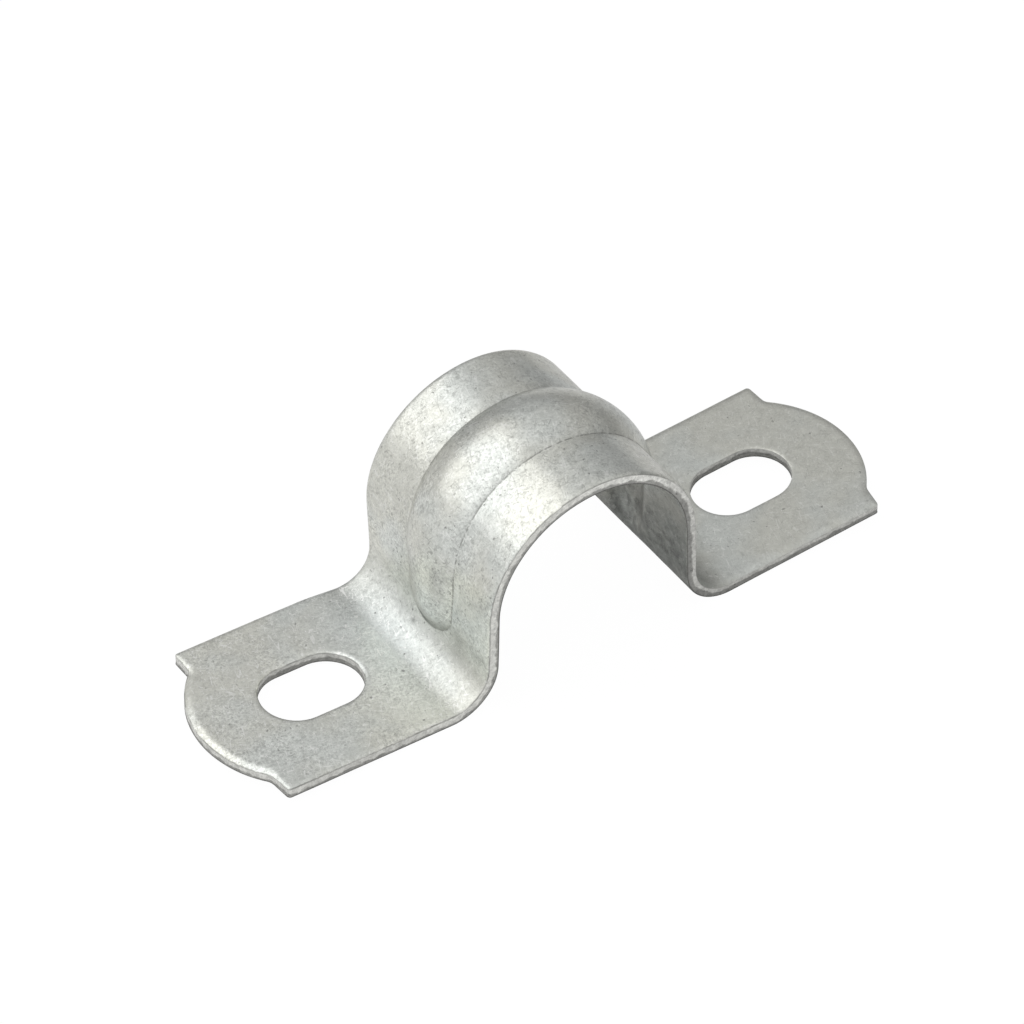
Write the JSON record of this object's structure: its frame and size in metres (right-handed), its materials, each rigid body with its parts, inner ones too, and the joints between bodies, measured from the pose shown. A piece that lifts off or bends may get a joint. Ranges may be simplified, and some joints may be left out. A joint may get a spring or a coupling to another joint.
{
  "type": "conduit strap",
  "caption": "Two-hole saddle strap of galvanised sheet steel with an embossed rib, for fixing round conduit to a flat surface.",
  "frame": {"origin": "midway between the two slots, in the mounting plane on which the undersides of the lower bends rest", "axes": "+X along the strap through both slots, +Y along the conduit, +Z away from the mounting surface"},
  "size_m": [0.0672, 0.019, 0.0213],
  "materials": {
    "galvanised_steel": "satin"
  },
  "bodies": {
    "root": {"conduit_strap": "galvanised_steel"}
  },
  "joints": []
}
